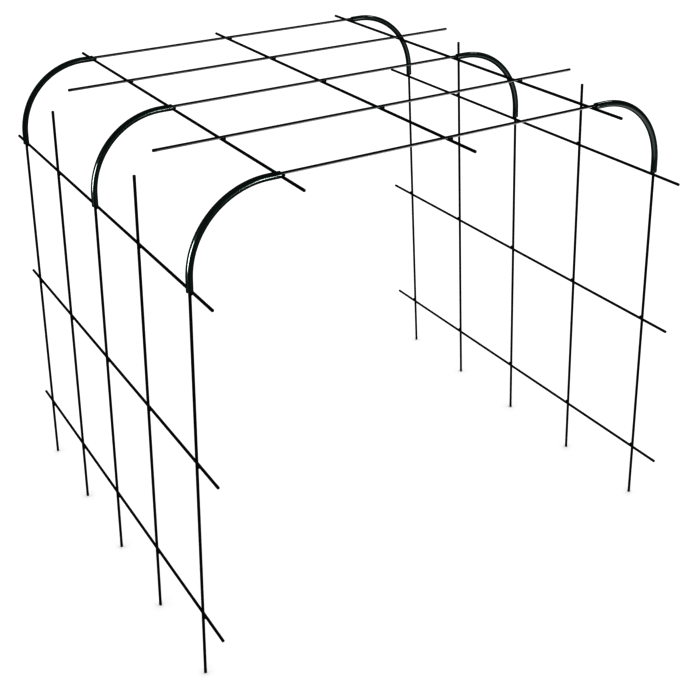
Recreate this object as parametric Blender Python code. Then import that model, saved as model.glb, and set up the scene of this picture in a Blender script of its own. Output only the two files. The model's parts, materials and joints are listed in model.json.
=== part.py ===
"""Metal trellis arch: three flat panels of welded rods, joined into a short tunnel by six curved tubes.

Units are metres and +Z is up. X runs across the tunnel, and Y runs along it, towards the back.
The origin is on the ground, in the middle of the arch. Rods and tubes are numbered from the back.
"""

import math

import bmesh
import bpy

# Driving dimensions of a panel: five long rods welded to three cross rods.
ROD_DIAMETER = 0.0048
LONG_PITCH = 0.200
CROSS_PITCH = 0.300
LONG_OVERHANG = 0.120
CROSS_OVERHANG = 0.068
LONG_COUNT = 5
CROSS_COUNT = 3

# Driving dimensions of an elbow: a bent tube that takes the end of a long rod at each mouth.
TUBE_DIAMETER = 0.0110
TUBE_WALL = 0.0010
BEND_RADIUS = 0.135
TAIL_LENGTH = 0.020
PLUG_DEPTH = 0.028
PLUGGED_RODS = (1, 3, 5)

# How the pieces stand together.
LEAN = math.radians(2.5)
TOUCH_GAP = 0.0003
TOP_ROD_LIFT = 0.0012

# How finely round shapes are divided, and the small cut round each rod's rim.
ROUND_SIDES = 16
BEND_STEPS = 20
RIM_CUT = 0.0006

# Places that follow from the driving dimensions.
ROD_RADIUS = ROD_DIAMETER / 2
MOUTH_STEP = ROD_RADIUS + TOUCH_GAP
LAYER_STEP = ROD_DIAMETER + TOUCH_GAP
HALF_LADDER = CROSS_PITCH * (CROSS_COUNT - 1) / 2
HALF_DEPTH = LONG_PITCH * (LONG_COUNT - 1) / 2
CROSS_LENGTH = 2 * (HALF_DEPTH + CROSS_OVERHANG)
FREE_TOP_LENGTH = 2 * (HALF_LADDER + LONG_OVERHANG)
PLUGGED_TOP_LENGTH = 2 * (HALF_LADDER + MOUTH_STEP + PLUG_DEPTH)
MOUTH_ABOVE_FOOT = LONG_OVERHANG + 2 * HALF_LADDER + MOUTH_STEP
FREE_UPRIGHT_LENGTH = 2 * (HALF_LADDER + LONG_OVERHANG)
PLUGGED_UPRIGHT_LENGTH = MOUTH_ABOVE_FOOT + PLUG_DEPTH

UPPER_MOUTH_X = HALF_LADDER + MOUTH_STEP
LOWER_MOUTH_X = UPPER_MOUTH_X + TAIL_LENGTH * (1 + math.sin(LEAN)) + BEND_RADIUS * math.cos(LEAN)
LOWER_MOUTH_Z = MOUTH_ABOVE_FOOT * math.cos(LEAN)
UPPER_MOUTH_Z = LOWER_MOUTH_Z + TAIL_LENGTH * math.cos(LEAN) + BEND_RADIUS * (1 - math.sin(LEAN))
TOP_ROD_Z = UPPER_MOUTH_Z + TOP_ROD_LIFT
FOOT_X = LOWER_MOUTH_X + MOUTH_ABOVE_FOOT * math.sin(LEAN)

SIDES = {"left": -1, "right": 1}


def remove_everything():
    """Empty the file, so that only the arch is in it."""
    for thing in list(bpy.data.objects):
        bpy.data.objects.remove(thing, do_unlink=True)


def coat_material(name, colour, roughness):
    """Dark green plastic coat over steel."""
    material = bpy.data.materials.new(name)
    material.use_nodes = True
    shader = material.node_tree.nodes["Principled BSDF"]
    shader.inputs["Base Color"].default_value = (*colour, 1.0)
    shader.inputs["Roughness"].default_value = roughness
    shader.inputs["Metallic"].default_value = 0.0
    return material


def body_empty(name, location):
    """An empty that carries the pieces of one rigid group; it sits where the group's joint is."""
    empty = bpy.data.objects.new(name, None)
    bpy.context.collection.objects.link(empty)
    empty.location = location
    return empty


def place(name, mesh, material, group, location, rotation):
    """Add one piece to the arch, carried by its group's empty."""
    mesh.materials.append(material)
    mesh.shade_smooth()
    mesh.set_sharp_from_angle(angle=math.radians(40))
    piece = bpy.data.objects.new(name, mesh)
    bpy.context.collection.objects.link(piece)
    piece.parent = group
    piece.location = [place - start for place, start in zip(location, group.location)]
    piece.rotation_euler = rotation
    return piece


def add_rim_cut(piece):
    """Break the sharp rim at both ends of a rod."""
    bevel = piece.modifiers.new("rim_cut", "BEVEL")
    bevel.width = RIM_CUT
    bevel.segments = 1
    bevel.limit_method = "ANGLE"
    bevel.angle_limit = math.radians(60)


def rod_mesh(name, length, level_foot=False):
    """A round rod that stands on the origin and runs up +Z. A level foot is cut along the ground when the
    rod leans towards -X."""
    shape = bmesh.new()
    bmesh.ops.create_cone(
        shape, cap_ends=True, segments=ROUND_SIDES, radius1=ROD_RADIUS, radius2=ROD_RADIUS, depth=length
    )
    bmesh.ops.translate(shape, verts=shape.verts, vec=(0, 0, length / 2))
    if level_foot:
        for corner in shape.verts:
            if corner.co.z < length / 2:
                corner.co.z = -corner.co.x * math.tan(LEAN)
    mesh = bpy.data.meshes.new(name)
    shape.to_mesh(mesh)
    shape.free()
    return mesh


def elbow_stations():
    """Centre line of an elbow from its upper mouth, as (x, z, angle below the horizontal)."""
    turn = math.pi / 2 - LEAN
    stations = [(0.0, 0.0, 0.0)]
    for step in range(BEND_STEPS + 1):
        angle = turn * step / BEND_STEPS
        along = TAIL_LENGTH + BEND_RADIUS * math.sin(angle)
        down = BEND_RADIUS * (1 - math.cos(angle))
        stations.append((along, -down, angle))
    bend_x, bend_z, angle = stations[-1]
    tail_end = (bend_x + TAIL_LENGTH * math.cos(turn), bend_z - TAIL_LENGTH * math.sin(turn), angle)
    return stations + [tail_end]


def ring(shape, station, radius):
    """A ring of corners round one station of the centre line, square to it."""
    along, height, angle = station
    corners = []
    for side in range(ROUND_SIDES):
        swing = 2 * math.pi * side / ROUND_SIDES
        outward = radius * math.cos(swing)
        across = radius * math.sin(swing)
        corners.append(
            shape.verts.new((along + outward * math.sin(angle), across, height + outward * math.cos(angle)))
        )
    return corners


def join_rings(shape, first, second):
    """A band of faces between two rings."""
    for side in range(ROUND_SIDES):
        following = (side + 1) % ROUND_SIDES
        shape.faces.new((first[side], first[following], second[following], second[side]))


def elbow_mesh(name):
    """An open tube from its upper mouth at the origin, out along +X and down to its lower mouth."""
    shape = bmesh.new()
    outer = [ring(shape, station, TUBE_DIAMETER / 2) for station in elbow_stations()]
    inner = [ring(shape, station, TUBE_DIAMETER / 2 - TUBE_WALL) for station in elbow_stations()]
    for here, following in zip(outer, outer[1:]):
        join_rings(shape, here, following)
    for here, following in zip(inner, inner[1:]):
        join_rings(shape, following, here)
    join_rings(shape, inner[0], outer[0])
    join_rings(shape, outer[-1], inner[-1])
    bmesh.ops.recalc_face_normals(shape, faces=shape.faces)
    mesh = bpy.data.meshes.new(name)
    shape.to_mesh(mesh)
    shape.free()
    return mesh


def rod_y(number):
    """Place of a long rod along the tunnel; number 1 is the back one."""
    return HALF_DEPTH - LONG_PITCH * (number - 1)


def build_top_panel(material):
    """Five rods across the tunnel, on top of three that run along it."""
    group = body_empty("top_panel", (0, 0, TOP_ROD_Z))
    for number in range(1, LONG_COUNT + 1):
        length = PLUGGED_TOP_LENGTH if number in PLUGGED_RODS else FREE_TOP_LENGTH
        name = f"top_long_rod_{number}"
        location = (-length / 2, rod_y(number), TOP_ROD_Z)
        add_rim_cut(place(name, rod_mesh(name, length), material, group, location, (0, math.pi / 2, 0)))
    for step, where in zip((-1, 0, 1), ("left", "middle", "right")):
        name = f"top_cross_rod_{where}"
        location = (step * CROSS_PITCH, -CROSS_LENGTH / 2, TOP_ROD_Z - LAYER_STEP)
        rotation = (-math.pi / 2, 0, 0)
        add_rim_cut(place(name, rod_mesh(name, CROSS_LENGTH), material, group, location, rotation))


def build_side_panel(side, material):
    """Five leaning uprights, with three cross rods on the inside of the tunnel."""
    sign = SIDES[side]
    turn = 0 if sign > 0 else math.pi
    group = body_empty(f"{side}_panel", (sign * LOWER_MOUTH_X, 0, LOWER_MOUTH_Z))
    for number in range(1, LONG_COUNT + 1):
        length = PLUGGED_UPRIGHT_LENGTH if number in PLUGGED_RODS else FREE_UPRIGHT_LENGTH
        name = f"{side}_upright_{number}"
        location = (sign * FOOT_X, rod_y(number), 0)
        mesh = rod_mesh(name, length, level_foot=True)
        add_rim_cut(place(name, mesh, material, group, location, (0, -LEAN, turn)))
    for step, where in enumerate(("bottom", "middle", "top")):
        name = f"{side}_cross_rod_{where}"
        up_the_rod = LONG_OVERHANG + step * CROSS_PITCH
        inwards = FOOT_X - up_the_rod * math.sin(LEAN) - LAYER_STEP * math.cos(LEAN)
        height = up_the_rod * math.cos(LEAN) - LAYER_STEP * math.sin(LEAN)
        location = (sign * inwards, -CROSS_LENGTH / 2, height)
        rotation = (-math.pi / 2, 0, 0)
        add_rim_cut(place(name, rod_mesh(name, CROSS_LENGTH), material, group, location, rotation))


def build_elbows(side, material):
    """Three bent tubes, one over each plugged rod, between the top panel and a side panel."""
    sign = SIDES[side]
    turn = 0 if sign > 0 else math.pi
    group = body_empty(f"{side}_elbows", (sign * UPPER_MOUTH_X, 0, UPPER_MOUTH_Z))
    for number in PLUGGED_RODS:
        name = f"{side}_elbow_{number}"
        location = (sign * UPPER_MOUTH_X, rod_y(number), UPPER_MOUTH_Z)
        place(name, elbow_mesh(name), material, group, location, (0, 0, turn))


def build_arch():
    """The whole arch, standing on its ten feet."""
    rod_coat = coat_material("rod_coat", (0.006, 0.012, 0.010), 0.38)
    tube_coat = coat_material("tube_coat", (0.004, 0.014, 0.011), 0.22)
    build_top_panel(rod_coat)
    for side in SIDES:
        build_elbows(side, tube_coat)
        build_side_panel(side, rod_coat)


remove_everything()
build_arch()
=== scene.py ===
"""Metal trellis arch: the finished look of its coated rods, bent tubes and spot welds.

Units are metres. Every piece takes its place from the frame: rods and tubes stand where the frame has
them, and the welds sit where a long rod crosses a cross rod.
"""

import json
import math
import random

import bpy
from mathutils import Euler, Matrix, Vector

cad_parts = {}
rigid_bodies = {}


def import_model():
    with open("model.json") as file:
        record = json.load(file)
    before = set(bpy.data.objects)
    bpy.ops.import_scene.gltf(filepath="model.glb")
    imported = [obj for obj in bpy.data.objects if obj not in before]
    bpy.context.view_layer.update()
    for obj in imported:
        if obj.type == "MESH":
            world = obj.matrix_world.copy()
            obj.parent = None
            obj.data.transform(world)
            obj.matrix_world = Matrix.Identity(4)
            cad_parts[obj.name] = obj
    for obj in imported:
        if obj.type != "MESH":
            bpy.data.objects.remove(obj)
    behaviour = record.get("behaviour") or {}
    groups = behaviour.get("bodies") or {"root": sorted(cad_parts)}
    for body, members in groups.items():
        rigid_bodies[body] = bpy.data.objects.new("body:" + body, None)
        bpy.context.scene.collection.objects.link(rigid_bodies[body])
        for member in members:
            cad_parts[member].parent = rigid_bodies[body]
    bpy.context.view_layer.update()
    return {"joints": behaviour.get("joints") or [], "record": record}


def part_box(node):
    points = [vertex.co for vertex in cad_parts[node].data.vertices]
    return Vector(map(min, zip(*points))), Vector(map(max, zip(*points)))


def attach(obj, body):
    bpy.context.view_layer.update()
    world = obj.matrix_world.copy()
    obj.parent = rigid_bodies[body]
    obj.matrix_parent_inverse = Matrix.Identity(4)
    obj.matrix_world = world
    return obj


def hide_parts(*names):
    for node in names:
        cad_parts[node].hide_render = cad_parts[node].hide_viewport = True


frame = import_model()

# Edges flatter than this shade smooth, and corners closer than this are one.
SMOOTH_ANGLE = math.radians(35)
MERGE_DISTANCE = 0.000001

# The rods: their sides, their rounded tips, and the thicker coat near the tips where they were dipped.
ROD_SIDES = 32
TIP_ROUND = 0.0011
TIP_STEPS = 5
DIP_LENGTH = 0.007
DIP_SLOPE = 0.004
DIP_THICKNESS = 0.00008

# The bent tubes.
TUBE_SIDES = 40
TUBE_WALL = 0.0010
TAIL_LENGTH = 0.020
TAIL_STEPS = 4
BEND_STEPS = 44
LIP_ROUND = 0.0003
LIP_STEPS = 3
LIP_ANGLE = math.radians(60)

# The spot welds between crossing rods: a squeezed nugget, and beads of coat in two corners, whose angles
# round the crossing are in degrees.
WELD_SIDES = 28
WELD_REACH = 0.0062
WELD_SINK = 0.00006
NUGGET_SPREAD = 0.0032
NUGGET_HEIGHT = 0.0018
BEAD_REACH = 0.0036
BEAD_RADII = {-45: 0.0019, 135: 0.0013}
WELD_VOXEL = 0.00034
WELD_SMOOTHING = 9
WELD_SOFTNESS = 0.6
WELD_KINDS = 4
WELD_SEED = 12

# The studio: how bright its walls are, and the gamma of the view, which darkens the coats when it is under 1.
STUDIO_LIGHT = 1.16
VIEW_GAMMA = 0.65
FLOOR_SIZE = 60

# The wide soft box in front, which three lights share: its place, the point it faces, and its size.
FRONT_PLACE = (1.49, -2.88, 0.5)
FRONT_TARGET = (1.49, 0, 0.5)
FRONT_SIZE = (1.74, 1.0)

# The camera: its place, the point it looks at, its roll in degrees, and its lens.
CAMERA_PLACE = (-1.0124, -1.790, 1.4422)
CAMERA_TARGET = (-0.0116, -0.0947, 0.4601)
CAMERA_ROLL = -1.0
SENSOR_WIDTH = 36.0
FOCAL_LENGTH = 58.59
LENS_SHIFT = -0.069

SIDES = {"left": -1, "right": 1}
PLUGGED_RODS = (1, 3, 5)
LONG_RODS = (1, 2, 3, 4, 5)


# Mesh helpers

def deselect_all():
    """Nothing selected, in object mode."""
    bpy.ops.object.select_all(action="DESELECT")


def pick(piece):
    """Only this piece is selected and active."""
    deselect_all()
    piece.select_set(True)
    bpy.context.view_layer.objects.active = piece


def select_faces(piece, wanted):
    """Enter edit mode on the piece with the faces selected for which wanted(face) is true."""
    pick(piece)
    bpy.ops.object.mode_set(mode="EDIT")
    bpy.ops.mesh.select_mode(type="FACE")
    bpy.ops.mesh.select_all(action="DESELECT")
    bpy.ops.object.mode_set(mode="OBJECT")
    for face in piece.data.polygons:
        face.select = wanted(face)
    bpy.ops.object.mode_set(mode="EDIT")


def select_corners(piece, wanted):
    """Enter edit mode on the piece with the corners selected for which wanted(place) is true."""
    pick(piece)
    bpy.ops.object.mode_set(mode="EDIT")
    bpy.ops.mesh.select_mode(type="VERT")
    bpy.ops.mesh.select_all(action="DESELECT")
    bpy.ops.object.mode_set(mode="OBJECT")
    for corner in piece.data.vertices:
        corner.select = wanted(corner.co)
    bpy.ops.object.mode_set(mode="EDIT")


def leave_edit_mode():
    """Back to object mode."""
    bpy.ops.object.mode_set(mode="OBJECT")


def settle(piece, place):
    """Turn and move the piece into place, and leave its object at the origin."""
    piece.matrix_world = place
    pick(piece)
    bpy.ops.object.transform_apply(location=True, rotation=True, scale=True)


def finish_piece(piece, name, body, replaced, materials):
    """Name the piece, dress it, and tie it to the frame."""
    piece.name = name
    piece.data.name = name
    piece.data.materials.clear()
    for material in materials:
        piece.data.materials.append(material)
    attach(piece, body)
    if replaced:
        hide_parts(replaced)


# Materials

class NodeBoard:
    """A material's nodes, added and joined in the order that they are read."""

    def __init__(self, name):
        self.material = bpy.data.materials.new(name)
        self.material.use_nodes = True
        self.tree = self.material.node_tree
        self.shader = self.tree.nodes["Principled BSDF"]

    def add(self, kind, inputs=None, **settings):
        node = self.tree.nodes.new(kind)
        for setting, value in settings.items():
            setattr(node, setting, value)
        for socket, value in (inputs or {}).items():
            if isinstance(value, bpy.types.NodeSocket):
                self.tree.links.new(value, node.inputs[socket])
            else:
                node.inputs[socket].default_value = value
        return node

    def noise(self, vector, scale, detail, roughness=0.5):
        inputs = {"Vector": vector, "Scale": scale, "Detail": detail, "Roughness": roughness}
        return self.add("ShaderNodeTexNoise", inputs).outputs["Fac"]

    def remap(self, value, low, high, to_low, to_high):
        inputs = {"Value": value, "From Min": low, "From Max": high, "To Min": to_low, "To Max": to_high}
        return self.add("ShaderNodeMapRange", inputs).outputs["Result"]

    def ramp(self, value, stops):
        node = self.add("ShaderNodeValToRGB", {"Fac": value})
        ramp = node.color_ramp
        while len(ramp.elements) < len(stops):
            ramp.elements.new(0.5)
        for element, (place, colour) in zip(ramp.elements, stops):
            element.position = place
            element.color = (*colour, 1.0)
        return node.outputs["Color"]

    def bump(self, height, distance, strength, normal=None):
        inputs = {"Height": height, "Distance": distance, "Strength": strength}
        if normal is not None:
            inputs["Normal"] = normal
        return self.add("ShaderNodeBump", inputs).outputs["Normal"]

    def wire(self, socket, value):
        self.tree.links.new(value, self.shader.inputs[socket])

    def set(self, socket, value):
        self.shader.inputs[socket].default_value = value


def coat_nodes(board, stretched, colours, roughness, relief):
    """Green-black plastic coat: cloudy colour, a faint orange peel, and fine lines along the wire."""
    place = board.add("ShaderNodeTexCoord").outputs["Object"]
    clouds = board.noise(place, 9.0, 3.0)
    board.wire("Base Color", board.ramp(clouds, [(0.3, colours[0]), (0.7, colours[1])]))
    smears = board.noise(place, 60.0, 4.0, 0.6)
    board.wire("Roughness", board.remap(smears, 0.3, 0.7, roughness[0], roughness[1]))
    peel = board.noise(place, 900.0, 2.0)
    lines = board.noise(stretched, 1.0, 2.0)
    rough_peel = board.bump(peel, 0.00004, relief)
    board.wire("Normal", board.bump(lines, 0.00005, relief, rough_peel))


def rod_coat(name, grain_axis):
    """Satin coat of the rods; the drawing lines run along the grain axis."""
    board = NodeBoard(name)
    place = board.add("ShaderNodeTexCoord").outputs["Object"]
    scale = [1800.0, 1800.0, 1800.0]
    scale["XYZ".index(grain_axis)] = 14.0
    stretched = board.add("ShaderNodeMapping", {"Vector": place, "Scale": scale}).outputs["Vector"]
    coat_nodes(board, stretched, ((0.003, 0.005, 0.0045), (0.006, 0.010, 0.0085)), (0.14, 0.24), 0.3)
    board.set("Specular IOR Level", 0.5)
    return board.material


def tube_coat(name, bend_centre):
    """Glossy coat of the bent tubes; the drawing lines follow the bend round its centre."""
    board = NodeBoard(name)
    place = board.add("ShaderNodeTexCoord").outputs["Object"]
    subtract = board.add("ShaderNodeVectorMath", {0: place, 1: bend_centre}, operation="SUBTRACT")
    flat = board.add("ShaderNodeVectorMath", {0: subtract.outputs[0], 1: (1, 0, 1)}, operation="MULTIPLY")
    radius = board.add("ShaderNodeVectorMath", {0: flat.outputs[0]}, operation="LENGTH").outputs["Value"]
    depth = board.add("ShaderNodeSeparateXYZ", {"Vector": place}).outputs["Y"]
    section = board.add("ShaderNodeCombineXYZ", {"X": radius, "Y": depth}).outputs["Vector"]
    stretched = board.add("ShaderNodeMapping", {"Vector": section, "Scale": (1500, 1500, 1500)})
    coat_nodes(
        board, stretched.outputs["Vector"], ((0.008, 0.015, 0.0125), (0.014, 0.024, 0.020)), (0.2, 0.3), 0.15
    )
    board.set("Specular IOR Level", 0.3)
    board.set("Specular Tint", (0.6, 1.0, 0.9, 1.0))
    board.set("Coat Weight", 1.0)
    board.set("Coat Roughness", 0.04)
    return board.material


def bore_steel():
    """Bare steel inside a tube, dull and a little rusty."""
    board = NodeBoard("bore_steel")
    place = board.add("ShaderNodeTexCoord").outputs["Object"]
    spots = board.noise(place, 350.0, 5.0, 0.65)
    colours = [(0.35, (0.16, 0.16, 0.155)), (0.62, (0.09, 0.085, 0.08)), (0.78, (0.10, 0.045, 0.02))]
    board.wire("Base Color", board.ramp(spots, colours))
    board.wire("Roughness", board.remap(spots, 0.3, 0.8, 0.38, 0.75))
    board.wire("Normal", board.bump(spots, 0.00008, 0.4))
    board.set("Metallic", 0.85)
    return board.material


def weld_coat():
    """The same coat where it has run over a weld, thicker and glossier, with small lumps under it."""
    board = NodeBoard("weld_coat")
    place = board.add("ShaderNodeTexCoord").outputs["Object"]
    lumps = board.noise(place, 520.0, 3.0, 0.55)
    board.wire("Base Color", board.ramp(lumps, [(0.3, (0.004, 0.008, 0.0065)), (0.7, (0.009, 0.016, 0.013))]))
    board.wire("Roughness", board.remap(lumps, 0.3, 0.7, 0.2, 0.36))
    board.wire("Normal", board.bump(lumps, 0.00012, 0.4))
    board.set("Specular IOR Level", 0.45)
    return board.material


# Rods

def rod_piece(length, radius):
    """A coated rod along +Z from the origin: rounded tips, and a little more coat where it was dipped."""
    bare = radius - DIP_THICKNESS
    bpy.ops.mesh.primitive_cylinder_add(
        vertices=ROD_SIDES, radius=bare, depth=length, location=(0, 0, length / 2)
    )
    rod = bpy.context.object
    bpy.ops.object.transform_apply(location=True, rotation=True, scale=True)
    bpy.ops.object.mode_set(mode="EDIT")
    for height in (DIP_LENGTH, DIP_LENGTH + DIP_SLOPE, length - DIP_LENGTH, length - DIP_LENGTH - DIP_SLOPE):
        bpy.ops.mesh.select_all(action="SELECT")
        bpy.ops.mesh.bisect(plane_co=(0, 0, height), plane_no=(0, 0, 1))
    leave_edit_mode()
    near_tip = DIP_LENGTH + DIP_SLOPE / 2
    select_corners(rod, lambda place: place.z < near_tip or place.z > length - near_tip)
    swell = radius / bare
    bpy.ops.transform.resize(value=(swell, swell, 1), center_override=(0, 0, 0))
    leave_edit_mode()
    select_faces(rod, lambda face: abs(face.normal.z) > 0.9)
    bpy.ops.mesh.bevel(offset=TIP_ROUND, offset_type="OFFSET", segments=TIP_STEPS, affect="EDGES")
    leave_edit_mode()
    bpy.ops.object.shade_smooth_by_angle(angle=SMOOTH_ANGLE)
    return rod


def straight_rod(node, along, body, material):
    """The rod that stands for a node lying along X or Y."""
    low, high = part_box(node)
    middle = (low + high) / 2
    radius = (high.z - low.z) / 2
    start = middle.copy()
    if along == "X":
        start.x = low.x
        turn = Euler((0, math.pi / 2, 0))
        length = high.x - low.x
    else:
        start.y = low.y
        turn = Euler((-math.pi / 2, 0, 0))
        length = high.y - low.y
    rod = rod_piece(length, radius)
    settle(rod, Matrix.Translation(start) @ turn.to_matrix().to_4x4())
    finish_piece(rod, f"{node}_coated", body, node, [material])


def mount_place(name):
    """Where a mount of the frame is."""
    return next(Vector(mount["pos_m"]) for mount in frame["record"]["mounts"] if mount["name"] == name)


def joint_axis(name):
    """Which way a joint of the frame slides."""
    return next(Vector(joint["axis"]) for joint in frame["joints"] if joint["name"] == name)


def upright_direction(side):
    """Up along the uprights of one side, which lean towards the tunnel."""
    return -joint_axis(f"{side}_panel_pull_out").normalized()


def upright_rod(side, number, material):
    """The rod that stands for a leaning upright."""
    node = f"{side}_upright_{number}"
    low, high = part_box(node)
    radius = (high.y - low.y) / 2
    up = upright_direction(side)
    clearance = radius * abs(up.x)
    foot = mount_place(f"{side}_foot_{number}") + up * clearance
    length = high.z / up.z - 2 * clearance
    rod = rod_piece(length, radius)
    lean = math.atan2(up.x, up.z)
    settle(rod, Matrix.Translation(foot) @ Euler((0, lean, 0)).to_matrix().to_4x4())
    finish_piece(rod, f"{node}_coated", f"{side}_panel", node, [material])


# Bent tubes

def elbow_layout(side):
    """The upper mouth, lean, tube radius and bend radius of one side's tubes, with X as a distance from the
    middle of the tunnel."""
    low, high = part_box(f"{side}_elbow_3")
    foot = mount_place(f"{side}_foot_3")
    up = upright_direction(side)
    lean = math.atan2(abs(up.x), up.z)
    tube_radius = (high.y - low.y) / 2
    upper_x = min(abs(low.x), abs(high.x))
    upper_z = high.z - tube_radius
    lower_z = low.z + tube_radius * math.sin(lean)
    lower_x = abs(foot.x) - lower_z * math.tan(lean)
    run = lower_x - upper_x - TAIL_LENGTH * (1 + math.sin(lean))
    bend_radius = run / math.cos(lean)
    return upper_x, upper_z, lean, tube_radius, bend_radius


def elbow_piece(side):
    """A bent tube from its upper mouth at the origin, along +X and down, with an open bore."""
    _, _, lean, tube_radius, bend_radius = elbow_layout(side)
    bpy.ops.mesh.primitive_circle_add(
        vertices=TUBE_SIDES, radius=tube_radius, location=(0, 0, 0), rotation=(0, math.pi / 2, 0)
    )
    tube = bpy.context.object
    bpy.ops.object.transform_apply(location=True, rotation=True, scale=True)
    bpy.ops.object.mode_set(mode="EDIT")
    bpy.ops.mesh.select_mode(type="EDGE")
    bpy.ops.mesh.select_all(action="SELECT")
    step = TAIL_LENGTH / TAIL_STEPS
    for _ in range(TAIL_STEPS):
        bpy.ops.mesh.extrude_region_move(TRANSFORM_OT_translate={"value": (step, 0, 0)})
    turn = math.pi / 2 - lean
    bpy.ops.mesh.spin(
        steps=BEND_STEPS, angle=turn, center=(TAIL_LENGTH, 0, -bend_radius), axis=(0, -1, 0)
    )
    for _ in range(TAIL_STEPS):
        bpy.ops.mesh.extrude_region_move(
            TRANSFORM_OT_translate={"value": (step * math.sin(lean), 0, -step * math.cos(lean))}
        )
    bpy.ops.mesh.select_all(action="SELECT")
    bpy.ops.mesh.remove_doubles(threshold=MERGE_DISTANCE)
    bpy.ops.mesh.normals_make_consistent(inside=False)
    leave_edit_mode()
    wall = tube.modifiers.new("wall", "SOLIDIFY")
    wall.thickness = TUBE_WALL
    wall.offset = -1.0
    wall.use_even_offset = True
    wall.material_offset = 1
    lip = tube.modifiers.new("lip", "BEVEL")
    lip.width = LIP_ROUND
    lip.segments = LIP_STEPS
    lip.limit_method = "ANGLE"
    lip.angle_limit = LIP_ANGLE
    tube.data.materials.append(None)
    tube.data.materials.append(None)
    bpy.ops.object.modifier_apply(modifier="wall")
    bpy.ops.object.modifier_apply(modifier="lip")
    bpy.ops.object.shade_smooth_by_angle(angle=SMOOTH_ANGLE)
    return tube


def build_elbows(side):
    """Three copies of one bent tube, over rods 1, 3 and 5."""
    sign = SIDES[side]
    upper_x, upper_z, _, _, bend_radius = elbow_layout(side)
    bend_centre = (sign * (upper_x + TAIL_LENGTH), 0, upper_z - bend_radius)
    materials = [tube_coat(f"tube_coat_{side}", bend_centre), bore_steel()]
    model = elbow_piece(side)
    turn = Matrix.Rotation(0 if sign > 0 else math.pi, 4, "Z")
    for number in PLUGGED_RODS:
        node = f"{side}_elbow_{number}"
        tube = model.copy()
        tube.data = model.data.copy()
        bpy.context.collection.objects.link(tube)
        low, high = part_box(node)
        upper_mouth = Vector((sign * upper_x, (low.y + high.y) / 2, upper_z))
        settle(tube, Matrix.Translation(upper_mouth) @ turn)
        finish_piece(tube, f"{node}_coated", f"{side}_elbows", node, materials)
    bpy.data.objects.remove(model)


# Spot welds

def weld_model(radius, spread, chance):
    """A weld at the origin: a stretch of the long rod along X, a stretch of the cross rod under it along Y,
    a squeezed nugget between them and two beads, all in one skin. The stretches lie just under the rods'
    coat."""
    parts = []
    for height, turn in ((spread / 2, (0, math.pi / 2, 0)), (-spread / 2, (math.pi / 2, 0, 0))):
        bpy.ops.mesh.primitive_cylinder_add(
            vertices=WELD_SIDES, radius=radius - WELD_SINK, depth=2 * WELD_REACH,
            location=(0, 0, height), rotation=turn,
        )
        parts.append(bpy.context.object)
    bpy.ops.mesh.primitive_uv_sphere_add(segments=24, ring_count=14, radius=1.0, location=(0, 0, 0))
    nugget = bpy.context.object
    wide = NUGGET_SPREAD * chance.uniform(0.9, 1.15)
    deep = NUGGET_SPREAD * chance.uniform(0.9, 1.15)
    nugget.scale = (wide, deep, NUGGET_HEIGHT)
    parts.append(nugget)
    for corner, bead_radius in BEAD_RADII.items():
        bead = bead_radius * chance.uniform(0.8, 1.15)
        swing = math.radians(corner + chance.uniform(-12, 12))
        bpy.ops.mesh.primitive_uv_sphere_add(
            segments=16, ring_count=10, radius=bead,
            location=(BEAD_REACH * math.cos(swing), BEAD_REACH * math.sin(swing), 0),
        )
        parts.append(bpy.context.object)
    deselect_all()
    for part in parts:
        part.select_set(True)
    bpy.context.view_layer.objects.active = parts[0]
    bpy.ops.object.join()
    weld = bpy.context.object
    bpy.ops.object.transform_apply(location=True, rotation=True, scale=True)
    skin = weld.modifiers.new("skin", "REMESH")
    skin.mode = "VOXEL"
    skin.voxel_size = WELD_VOXEL
    smooth = weld.modifiers.new("smooth", "SMOOTH")
    smooth.factor = WELD_SOFTNESS
    smooth.iterations = WELD_SMOOTHING
    bpy.ops.object.modifier_apply(modifier="skin")
    bpy.ops.object.modifier_apply(modifier="smooth")
    bpy.ops.object.shade_smooth()
    return weld


def rod_line(body, node):
    """A point on a rod's axis, and the axis's direction."""
    if "upright" in node:
        side = body.split("_")[0]
        number = node.split("_")[-1]
        return mount_place(f"{side}_foot_{number}"), upright_direction(side)
    low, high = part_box(node)
    along = Vector((0, 1, 0)) if "cross" in node else Vector((1, 0, 0))
    return (low + high) / 2, along


def build_welds(body, long_nodes, cross_nodes, material, models):
    """Every weld of one panel, joined into one piece."""
    chance = random.Random(WELD_SEED + len(body))
    welds = []
    for long_node in long_nodes:
        long_point, long_way = rod_line(body, long_node)
        for cross_node in cross_nodes:
            cross_point, cross_way = rod_line(body, cross_node)
            on_long = long_point + long_way * long_way.dot(cross_point - long_point)
            on_cross = cross_point + cross_way * cross_way.dot(on_long - cross_point)
            on_long = Vector((on_long.x, long_point.y, on_long.z))
            up = (on_long - on_cross).normalized()
            axes = Matrix((long_way, up.cross(long_way), up)).transposed().to_4x4()
            weld = models[chance.randrange(len(models))].copy()
            weld.data = weld.data.copy()
            bpy.context.collection.objects.link(weld)
            settle(weld, Matrix.Translation((on_long + on_cross) / 2) @ axes)
            welds.append(weld)
    deselect_all()
    for weld in welds:
        weld.select_set(True)
    bpy.context.view_layer.objects.active = welds[0]
    bpy.ops.object.join()
    finish_piece(welds[0], f"{body}_welds", body, None, [material])


# The stage

def build_floor():
    """A plain pale floor that runs past every view."""
    bpy.ops.mesh.primitive_plane_add(size=FLOOR_SIZE, location=(0, 0, 0))
    floor = bpy.context.object
    floor.name = "floor"
    board = NodeBoard("pale_floor")
    board.set("Base Color", (0.93, 0.93, 0.93, 1.0))
    board.set("Roughness", 0.9)
    board.set("Specular IOR Level", 0.0)
    floor.data.materials.append(board.material)
    floor.visible_glossy = False


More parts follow.
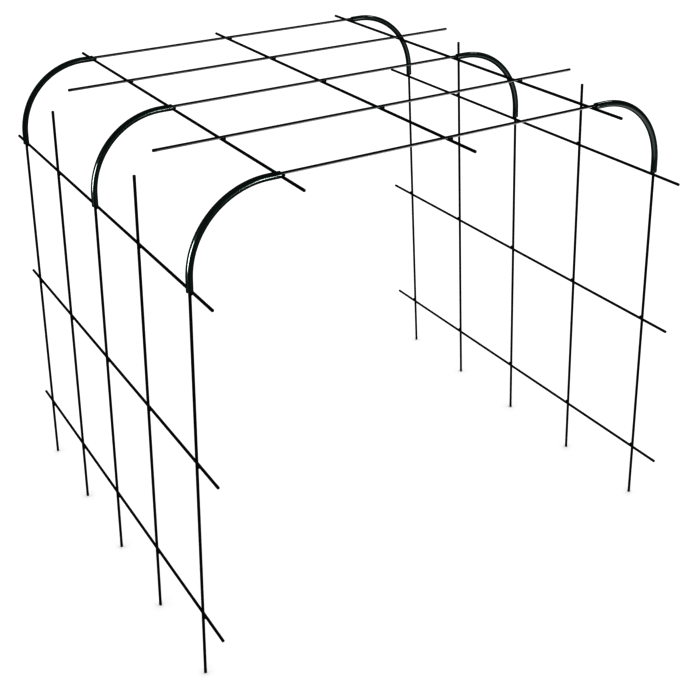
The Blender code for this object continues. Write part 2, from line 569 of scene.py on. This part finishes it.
def soft_box(name, place, target, size, radiance, shape, glossed):
    """A soft box that faces a point. It shows only as a line of light along the pieces named in glossed."""
    light = bpy.data.lights.new(name, "AREA")
    light.shape = shape
    light.size, light.size_y = size
    light.energy = radiance * math.pi * size[0] * size[1]
    box = bpy.data.objects.new(name, light)
    bpy.context.collection.objects.link(box)
    box.location = place
    box.rotation_euler = (Vector(target) - Vector(place)).to_track_quat("-Z", "Y").to_euler()
    box.visible_camera = False
    box.visible_diffuse = False
    receivers = bpy.data.collections.new(f"{name}_pieces")
    for piece in list(bpy.context.scene.objects):
        if piece.name.startswith(glossed):
            receivers.objects.link(piece)
    box.light_linking.receiver_collection = receivers


def build_light():
    """Even white light from all round, and soft boxes for the lines of light along the coats. The bright
    boxes reach the tubes only, because they would turn the thin rods white against the floor."""
    studio = bpy.data.worlds.new("studio")
    studio.use_nodes = True
    walls = studio.node_tree.nodes["Background"]
    walls.inputs["Color"].default_value = (1.0, 1.0, 1.0, 1.0)
    walls.inputs["Strength"].default_value = STUDIO_LIGHT
    studio.cycles_visibility.glossy = False
    bpy.context.scene.world = studio
    near_tubes = ("left_elbow_3", "left_elbow_5")
    far_tubes = ("left_elbow_1", "right_elbow")
    right_tubes = ("right_elbow",)
    top_rods = ("top_long_rod",)
    rods = ("top", "left_upright", "left_cross", "left_panel", "right_upright", "right_cross", "right_panel")
    soft_box("front_box", FRONT_PLACE, FRONT_TARGET, FRONT_SIZE, 27, "RECTANGLE", near_tubes)
    soft_box("left_box", (-3.35, -0.9, 0.85), (-0.45, -0.2, 0.8), (1.8, 1.7), 22, "ELLIPSE", near_tubes)
    soft_box("dim_front_box", FRONT_PLACE, FRONT_TARGET, FRONT_SIZE, 10, "RECTANGLE", far_tubes)
    soft_box("low_box", (0.35, -0.8, 0.22), (0.35, -0.7, 1.0), (1.6, 0.9), 1.5, "ELLIPSE", right_tubes)
    soft_box("right_top_box", (2.15, 0.1, 2.65), (0.3, -0.2, 0.85), (0.45, 0.45), 12, "ELLIPSE", right_tubes)
    soft_box("rod_box", FRONT_PLACE, FRONT_TARGET, FRONT_SIZE, 3, "RECTANGLE", rods)
    soft_box("under_box", (1.25, -1.35, 0.02), (1.25, -1.35, 1.0), (2.5, 2.7), 7, "RECTANGLE", top_rods)


def build_camera():
    """A camera in front of the arch and to its left, above the top panel."""
    lens = bpy.data.cameras.new("camera")
    lens.sensor_width = SENSOR_WIDTH
    lens.lens = FOCAL_LENGTH
    lens.shift_y = LENS_SHIFT
    camera = bpy.data.objects.new("camera", lens)
    bpy.context.collection.objects.link(camera)
    place = Vector(CAMERA_PLACE)
    roll = Matrix.Rotation(math.radians(CAMERA_ROLL), 4, "Z")
    turn = (Vector(CAMERA_TARGET) - place).to_track_quat("-Z", "Y").to_matrix().to_4x4()
    camera.matrix_world = Matrix.Translation(place) @ turn @ roll
    bpy.context.scene.camera = camera


def build_rods(materials):
    """Every coated rod of the three panels."""
    for number in LONG_RODS:
        straight_rod(f"top_long_rod_{number}", "X", "top_panel", materials["X"])
    for where in ("left", "middle", "right"):
        straight_rod(f"top_cross_rod_{where}", "Y", "top_panel", materials["Y"])
    for side in SIDES:
        for number in LONG_RODS:
            upright_rod(side, number, materials["Z"])
        for where in ("bottom", "middle", "top"):
            straight_rod(f"{side}_cross_rod_{where}", "Y", f"{side}_panel", materials["Y"])


def build_all_welds():
    """Welds at every crossing of the three panels."""
    chance = random.Random(WELD_SEED)
    long_low, long_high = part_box("top_long_rod_2")
    cross_low, cross_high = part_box("top_cross_rod_middle")
    radius = (long_high.z - long_low.z) / 2
    spread = (long_low.z + long_high.z - cross_low.z - cross_high.z) / 2
    models = [weld_model(radius - DIP_THICKNESS, spread, chance) for _ in range(WELD_KINDS)]
    material = weld_coat()
    panels = {
        "top_panel": ("top_long_rod", "top_cross_rod", ("left", "middle", "right")),
        "left_panel": ("left_upright", "left_cross_rod", ("bottom", "middle", "top")),
        "right_panel": ("right_upright", "right_cross_rod", ("bottom", "middle", "top")),
    }
    for body, (long_name, cross_name, places) in panels.items():
        long_nodes = [f"{long_name}_{number}" for number in LONG_RODS]
        cross_nodes = [f"{cross_name}_{place}" for place in places]
        build_welds(body, long_nodes, cross_nodes, material, models)
    for model in models:
        bpy.data.objects.remove(model)


build_camera()
build_rods({axis: rod_coat(f"rod_coat_along_{axis.lower()}", axis) for axis in "XYZ"})
for side in SIDES:
    build_elbows(side)
build_all_welds()
build_floor()
build_light()
bpy.context.scene.view_settings.view_transform = "Standard"
bpy.context.scene.view_settings.gamma = VIEW_GAMMA
